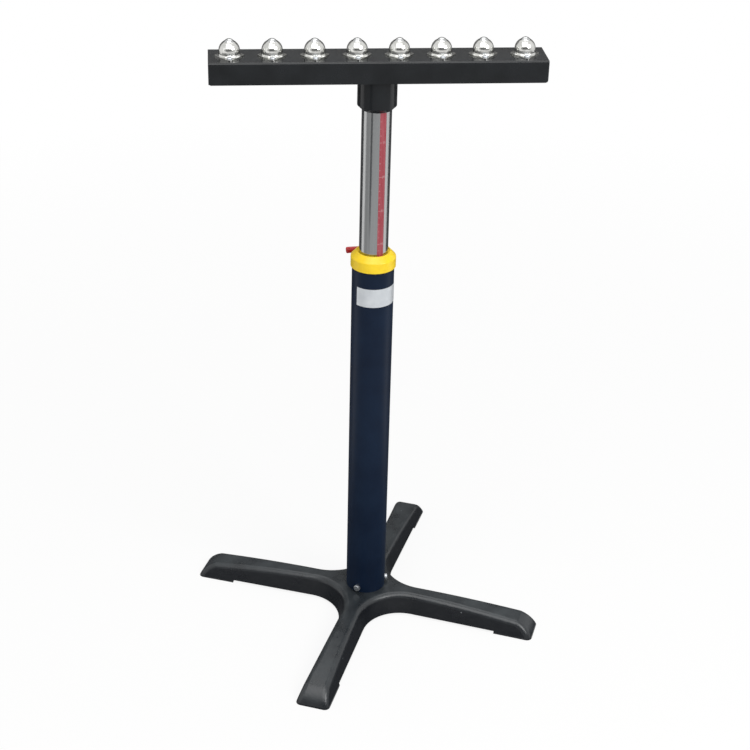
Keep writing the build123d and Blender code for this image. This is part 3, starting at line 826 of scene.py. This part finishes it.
class STAND_OT_ball_units(Operator):
    """Finish the ball transfer units and add the radius between each housing's dome and flange"""

    bl_idname = "stand.ball_units"
    bl_label = "Ball Units"

    def execute(self, context):
        colours, sizes = stand_settings()
        plate = pressing_nickel_plated(colours)
        give(plate, "ball_housings")
        give(bearing_steel(colours), "race_cups", "load_balls", *ball_names())
        places = screw_places(sizes)
        middles = [(near + far) / 2 for near, far in zip(places[::2], places[1::2])]
        foot = self.foot(sizes, places[-1].y)
        mesh = make_mesh("housing_feet", *repeat(*foot, middles), 40, True)
        new_piece("housing_feet", mesh, plate, "mast")
        return {"FINISHED"}

    def foot(self, sizes, screw_reach):
        """Concave ring round a dome's foot, cut away where a screw's head lies on the flange."""
        steps = 6
        segments = 3 * sizes.segments
        dome = sizes.dome_diameter / 2
        radius = sizes.draw_radius
        # The turns round the dome, and the foot's width at each of them
        widths = []
        for i in range(segments):
            turn = 2 * math.pi * i / segments
            reach = dome + radius
            across = (sizes.head_diameter / 2 + SINK) ** 2 - (screw_reach * math.cos(turn)) ** 2
            if across > 0:
                reach = min(reach, screw_reach * abs(math.sin(turn)) - math.sqrt(across))
            widths.append((turn, reach - dome))
        inside = -SINK / radius
        rings = [self.foot_ring(sizes, widths, inside, -SINK), self.foot_ring(sizes, widths, inside, radius)]
        rings += [self.foot_ring(sizes, widths, (i / steps) ** 2) for i in range(steps + 1)]
        rings += [self.foot_ring(sizes, widths, 1, -SINK), self.foot_ring(sizes, widths, inside, -SINK)]
        return rings_mesh(rings, cap=False)

    def foot_ring(self, sizes, widths, share, height=None):
        """Points round a foot at a share of its width, in its hollow unless they have a height."""
        dome = sizes.dome_diameter / 2
        radius = sizes.draw_radius
        points = []
        for turn, width in widths:
            out = share * width
            level = radius - math.sqrt(radius**2 - (radius - out) ** 2) if height is None else height
            points.append(((dome + out) * math.cos(turn), (dome + out) * math.sin(turn), level))
        return points


class STAND_OT_flange_screws(Operator):
    """Replace the plain flange screws with cross-recessed ones that have a thread, and finish their nuts"""

    bl_idname = "stand.flange_screws"
    bl_label = "Flange Screws"

    def execute(self, context):
        colours, sizes = stand_settings()
        zinc = zinc_plated(colours)
        give(zinc, "flange_screws", "flange_nuts", "spring_washers")
        places = screw_places(sizes)
        shank = self.shank(sizes, places[0].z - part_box("flange_screws")[0].z)
        screw = join([shank, self.head(sizes)])
        mesh = make_mesh("cross_screws", *repeat(*screw, places), 35)
        screws = new_piece("cross_screws", mesh, zinc, "mast")
        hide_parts("flange_screws")
        return {"FINISHED"}

    def head(self, sizes):
        """Pan head with a cross recess, its underside at the height 0."""
        steps = 6
        # Shares of the head's height at the top of its side and of its shoulder
        side_share = 0.35
        shoulder_share = 0.95
        # Shares of the head's radius at the top of its shoulder and at the edge of its flat middle
        crown_share = 0.6
        middle_share = 0.25
        # Share of the recess's width and length at its bottom
        bottom_share = 0.6
        cutter_top = sizes.head_height + 1 * MM
        radius = sizes.head_diameter / 2
        side = side_share * sizes.head_height
        crown = shoulder_share * sizes.head_height - side
        profile = [(radius, 0), (radius, side)]
        for i in range(1, steps + 1):
            turn = math.pi / 2 * i / steps
            reach = radius * (crown_share + (1 - crown_share) * math.cos(turn))
            profile.append((reach, side + crown * math.sin(turn)))
        profile.append((radius * middle_share, sizes.head_height))
        rings = [circle(reach, height, sizes.segments) for reach, height in profile]
        head = new_object("head", make_mesh("head", *rings_mesh(rings), closed=True))
        cutters = []
        for along in (True, False):
            rings = []
            for share, height in ((1, cutter_top), (bottom_share, sizes.head_height - sizes.recess_depth)):
                a = share * sizes.recess_span / 2
                b = share * sizes.recess_width / 2
                corners = ((-a, -b), (a, -b), (a, b), (-a, b))
                rings.append([(x, y, height) if along else (-y, x, height) for x, y in corners])
            cutters.append(new_object("cutter", make_mesh("cutter", *rings_mesh(rings), closed=True)))
        for cutter in cutters:
            cut = head.modifiers.new("recess", "BOOLEAN")
            cut.object = cutter
            cut.operation = "DIFFERENCE"
            cut.solver = "EXACT"
        graph = bpy.context.evaluated_depsgraph_get()
        result = bpy.data.meshes.new_from_object(head.evaluated_get(graph))
        if len(result.polygons) <= len(head.data.polygons):
            raise RuntimeError("The cross recess wasn't cut")
        points = [tuple(vertex.co) for vertex in result.vertices]
        faces = [list(face.vertices) for face in result.polygons]
        bpy.data.meshes.remove(result)
        for item in (head, *cutters):
            mesh = item.data
            bpy.data.objects.remove(item)
            bpy.data.meshes.remove(mesh)
        return points, faces

    def shank(self, sizes, reach):
        """Plain shank that ends in a thread with a chamfered tip, downwards from the height 0."""
        rows_per_turn = 8
        # Share of the radius at the chamfer's end
        tip_share = 0.75
        segments = sizes.segments // 2
        thread_top = sizes.thread_length - reach
        rows = round(sizes.thread_length / sizes.thread_pitch * rows_per_turn)
        rings = [circle(sizes.screw_diameter / 2, 0, segments)]
        for row in range(rows + 1):
            height = thread_top - sizes.thread_length * row / rows
            chamfer = min(1, tip_share + (1 - tip_share) * (rows - row) / rows_per_turn)
            ring = []
            for i in range(segments):
                turn = i / segments
                phase = (height / sizes.thread_pitch + turn) % 1
                groove = sizes.thread_depth * (1 - abs(2 * phase - 1)) if row else 0
                radius = (sizes.screw_diameter / 2 - groove) * chamfer
                angle = 2 * math.pi * turn
                ring.append((radius * math.cos(angle), radius * math.sin(angle), height))
            rings.append(ring)
        return rings_mesh(rings[::-1])


class STAND_OT_clamp(Operator):
    """Finish the clamp: pad, screw, cap screw and lever, and wind its spring from round wire"""

    bl_idname = "stand.clamp"
    bl_label = "Clamp"

    def execute(self, context):
        colours, sizes = stand_settings()
        give(turned_brass(colours), "clamp_pad")
        give(zinc_plated(colours), "clamp_screw", "lever_cap_screw")
        give(red_polyamide(colours), "lever_handle")
        steel = spring_steel(colours)
        give(steel, "lever_spring")
        low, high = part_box("lever_spring")
        mesh = make_mesh("round_wire_spring", *self.coil(sizes, low, high), 60, True)
        spring = new_piece("round_wire_spring", mesh, steel, "clamp_screw_body")
        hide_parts("lever_spring")
        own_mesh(spring)
        return {"FINISHED"}

    def coil(self, sizes, low, high):
        """Coil of round wire along Y that fills the room between two corners."""
        wire_segments = 10
        wire = sizes.spring_wire / 2
        middle = (low + high) / 2
        radius = (high.x - low.x) / 2 - wire
        rise = high.y - low.y - 2 * wire
        rows = round(sizes.spring_turns * sizes.segments)
        rings = []
        for row in range(rows + 1):
            turn = 2 * math.pi * sizes.spring_turns * row / rows
            out = Vector((math.cos(turn), 0, -math.sin(turn)))
            centre = Vector((middle.x, low.y + wire + rise * row / rows, middle.z)) + out * radius
            flat = flat_circle(wire, wire_segments)
            rings.append([tuple(centre + out * x + Vector((0, y, 0))) for x, y in flat])
        return rings_mesh(rings)


class STAND_OT_studio(Operator):
    """Set up the pale floor, the soft lights, the cloths that metal reflects, the world and the camera"""

    bl_idname = "stand.studio"
    bl_label = "Studio"

    def execute(self, context):
        studio = context.scene.roller_stand.studio
        context.scene.view_settings.view_transform = "Standard"
        self.floor(studio)
        self.world(studio)
        self.lamps(studio)
        self.cloths(studio)
        self.camera(studio)
        return {"FINISHED"}

    def seen_rays(self, add):
        """1 on the rays of the eye, metal and glass, and 0 on those of light."""
        rays = add("ShaderNodeLightPath").outputs
        seen = add(
            "ShaderNodeMath",
            {0: rays["Is Camera Ray"], 1: rays["Is Glossy Ray"]},
            operation="MAXIMUM",
        )
        return add("ShaderNodeMath", {0: seen, 1: rays["Is Transmission Ray"]}, operation="MAXIMUM")

    def floor(self, studio):
        """Pale floor that the eye, metal and glass see nearly white, with the stand's shadow on it."""
        material, add, places = start_material("studio_floor_matt_paint")
        lit = add("ShaderNodeBsdfDiffuse", {"Color": studio.floor})
        white = add("ShaderNodeEmission", {"Color": (1, 1, 1), "Strength": 1})
        # The share of white grows away from the stand, so that only the floor near it shows its shadow
        reach = add("ShaderNodeVectorMath", {0: places}, operation="LENGTH")
        white_share = add(
            "ShaderNodeMapRange",
            {
                "Value": reach,
                "From Min": studio.shadow_reach,
                "From Max": studio.white_reach,
                "To Min": studio.white_share,
                "To Max": 1,
            },
        )
        share = add("ShaderNodeMath", {0: self.seen_rays(add), 1: white_share}, operation="MULTIPLY")
        surface = add("ShaderNodeMixShader", {0: share, 1: lit, 2: white})
        add("ShaderNodeOutputMaterial", {"Surface": surface})
        half = studio.floor_span / 2
        corners = [(-half, -half, 0), (half, -half, 0), (half, half, 0), (-half, half, 0)]
        new_object("studio_floor", make_mesh("studio_floor", corners, [[0, 1, 2, 3]]), material)

    def world(self, studio):
        """Even light, and plain white for the eye, metal and glass."""
        world = bpy.data.worlds.new("studio")
        world.use_nodes = True
        world.node_tree.nodes.clear()
        add = partial(add_node, world.node_tree)
        seen = self.seen_rays(add)
        strength = add("ShaderNodeMapRange", {"Value": seen, "To Min": studio.world_light, "To Max": 1})
        back = add("ShaderNodeBackground", {"Color": (1, 1, 1), "Strength": strength})
        add("ShaderNodeOutputWorld", {"Surface": back})
        bpy.context.scene.world = world

    def lamps(self, studio):
        """Square soft lights that face the middle of the stand."""
        # Place and side of the square in metres, and power
        lamps = {
            "key_light": ((1.7, -1.9, 2.3), 1.5, studio.key_power),
            "front_light": ((-0.3, -1.3, 2.9), 2.4, studio.front_power),
            "fill_light": ((-2.2, -1.6, 1.4), 1.6, studio.fill_power),
            "back_light": ((0.2, 1.2, 2.8), 1.8, studio.back_power),
        }
        middle = Vector((0, 0, 0.5))
        for name, (place, side, watts) in lamps.items():
            data = bpy.data.lights.new(name, "AREA")
            data.shape = "SQUARE"
            data.size = side
            data.energy = watts
            lamp = new_object(name, data)
            lamp.location = place
            lamp.rotation_euler = (middle - Vector(place)).to_track_quat("-Z", "Y").to_euler()

    def cloths(self, studio):
        """Cloths round the stand that only metal and gloss reflect, five on the floor and two upright."""
        # Degrees to the right of the line to the camera, from and to; metres from the middle, from and to;
        # metres above the floor; the cloth's tone
        sectors = {
            "mat_middle": (0, 360, 0.01, 0.45, 0.002, studio.dark_mat),
            "mat_front": (-28, 82, 0.45, 3.2, 0.002, studio.pale_mat),
            "mat_left": (-82, -28, 0.45, 3.2, 0.002, studio.pale_mat),
            "mat_streak": (-42, -28, 1.5, 3.2, 0.004, studio.dark_mat),
            "mat_back": (112, 250, 0.45, 3.2, 0.002, studio.dark_mat),
        }
        degrees_per_step = 4
        towards_camera = math.atan2(studio.camera_place[1], studio.camera_place[0])
        for name, (first, last, inner, outer, height, tone) in sectors.items():
            steps = round((last - first) / degrees_per_step)
            degrees = [first + (last - first) * i / steps for i in range(steps + 1)]
            rings = []
            for reach in (inner, outer):
                turns = [towards_camera + math.radians(degree) for degree in degrees]
                rings.append([(reach * math.cos(turn), reach * math.sin(turn), height) for turn in turns])
            points, faces = rings_mesh(rings, cap=False)
            self.cloth(name, points, faces[:-1], tone)
        # Half the width, place along Y, lower and upper edge in metres, and the cloth's tone
        uprights = {
            "flag_back": (2.6, 2.2, 0, 2.6, studio.back_flag),
            "flag_front": (5, -3.3, 0.9, 2.7, studio.front_flag),
        }
        for name, (half, place, low, high, tone) in uprights.items():
            corners = [(-half, place, low), (half, place, low), (half, place, high), (-half, place, high)]
            self.cloth(name, corners, [[0, 1, 2, 3]], tone)

    def cloth(self, name, points, faces, tone):
        """Cotton cloth of the studio that light, shadows and the camera pass through."""
        cotton = finish(
            f"{name}_cotton_cloth",
            tones=(tone,),
            cloud_mm=20,
            roughness=(0.9, 1.0),
            reliefs=[(3, 0.2, EVEN)],
            IOR=1.3,
        )
        cloth = new_object(name, make_mesh(name, points, faces), cotton)
        cloth.visible_camera = False
        cloth.visible_diffuse = False
        cloth.visible_shadow = False
        cloth.visible_transmission = False

    def camera(self, studio):
        """Camera at the photograph's place and angle."""
        data = bpy.data.cameras.new("camera")
        data.lens = studio.lens
        data.sensor_width = 36
        heading, pitch, roll = studio.camera_turn
        level = Vector((-math.sin(heading), math.cos(heading), 0))
        ahead = level * math.cos(pitch) - Vector((0, 0, math.sin(pitch)))
        right = Vector((math.cos(heading), math.sin(heading), 0))
        up = right.cross(ahead)
        rolled_right = right * math.cos(roll) + up * math.sin(roll)
        rolled_up = up * math.cos(roll) - right * math.sin(roll)
        turn = Matrix((rolled_right, rolled_up, -ahead)).transposed()
        camera = new_object("camera", data)
        camera.matrix_world = Matrix.Translation(studio.camera_place) @ turn.to_4x4()
        bpy.context.scene.camera = camera


STEPS = (
    STAND_OT_base,
    STAND_OT_column,
    STAND_OT_collar,
    STAND_OT_mast,
    STAND_OT_scale,
    STAND_OT_head,
    STAND_OT_ball_units,
    STAND_OT_flange_screws,
    STAND_OT_clamp,
    STAND_OT_studio,
)


class STAND_PT_sidebar(Panel):
    """Buttons that finish each group of pieces"""

    bl_idname = "STAND_PT_sidebar"
    bl_label = "Ball Roller Stand"
    bl_space_type = "VIEW_3D"
    bl_region_type = "UI"
    bl_category = "Roller Stand"

    def draw(self, context):
        for step in STEPS:
            self.layout.operator(step.bl_idname)


CLASSES = (StandColours, StandSizes, StandStudio, StandSettings, *STEPS, STAND_PT_sidebar)


def register():
    for item in CLASSES:
        bpy.utils.register_class(item)
    bpy.types.Scene.roller_stand = PointerProperty(
        type=StandSettings, name="Roller Stand", description="Settings of the ball roller stand"
    )


def unregister():
    del bpy.types.Scene.roller_stand
    for item in reversed(CLASSES):
        bpy.utils.unregister_class(item)


def main():
    """Register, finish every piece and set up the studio."""
    register()
    for step in STEPS:
        group, name = step.bl_idname.split(".")
        getattr(getattr(bpy.ops, group), name)()


if __name__ == "__main__":
    main()
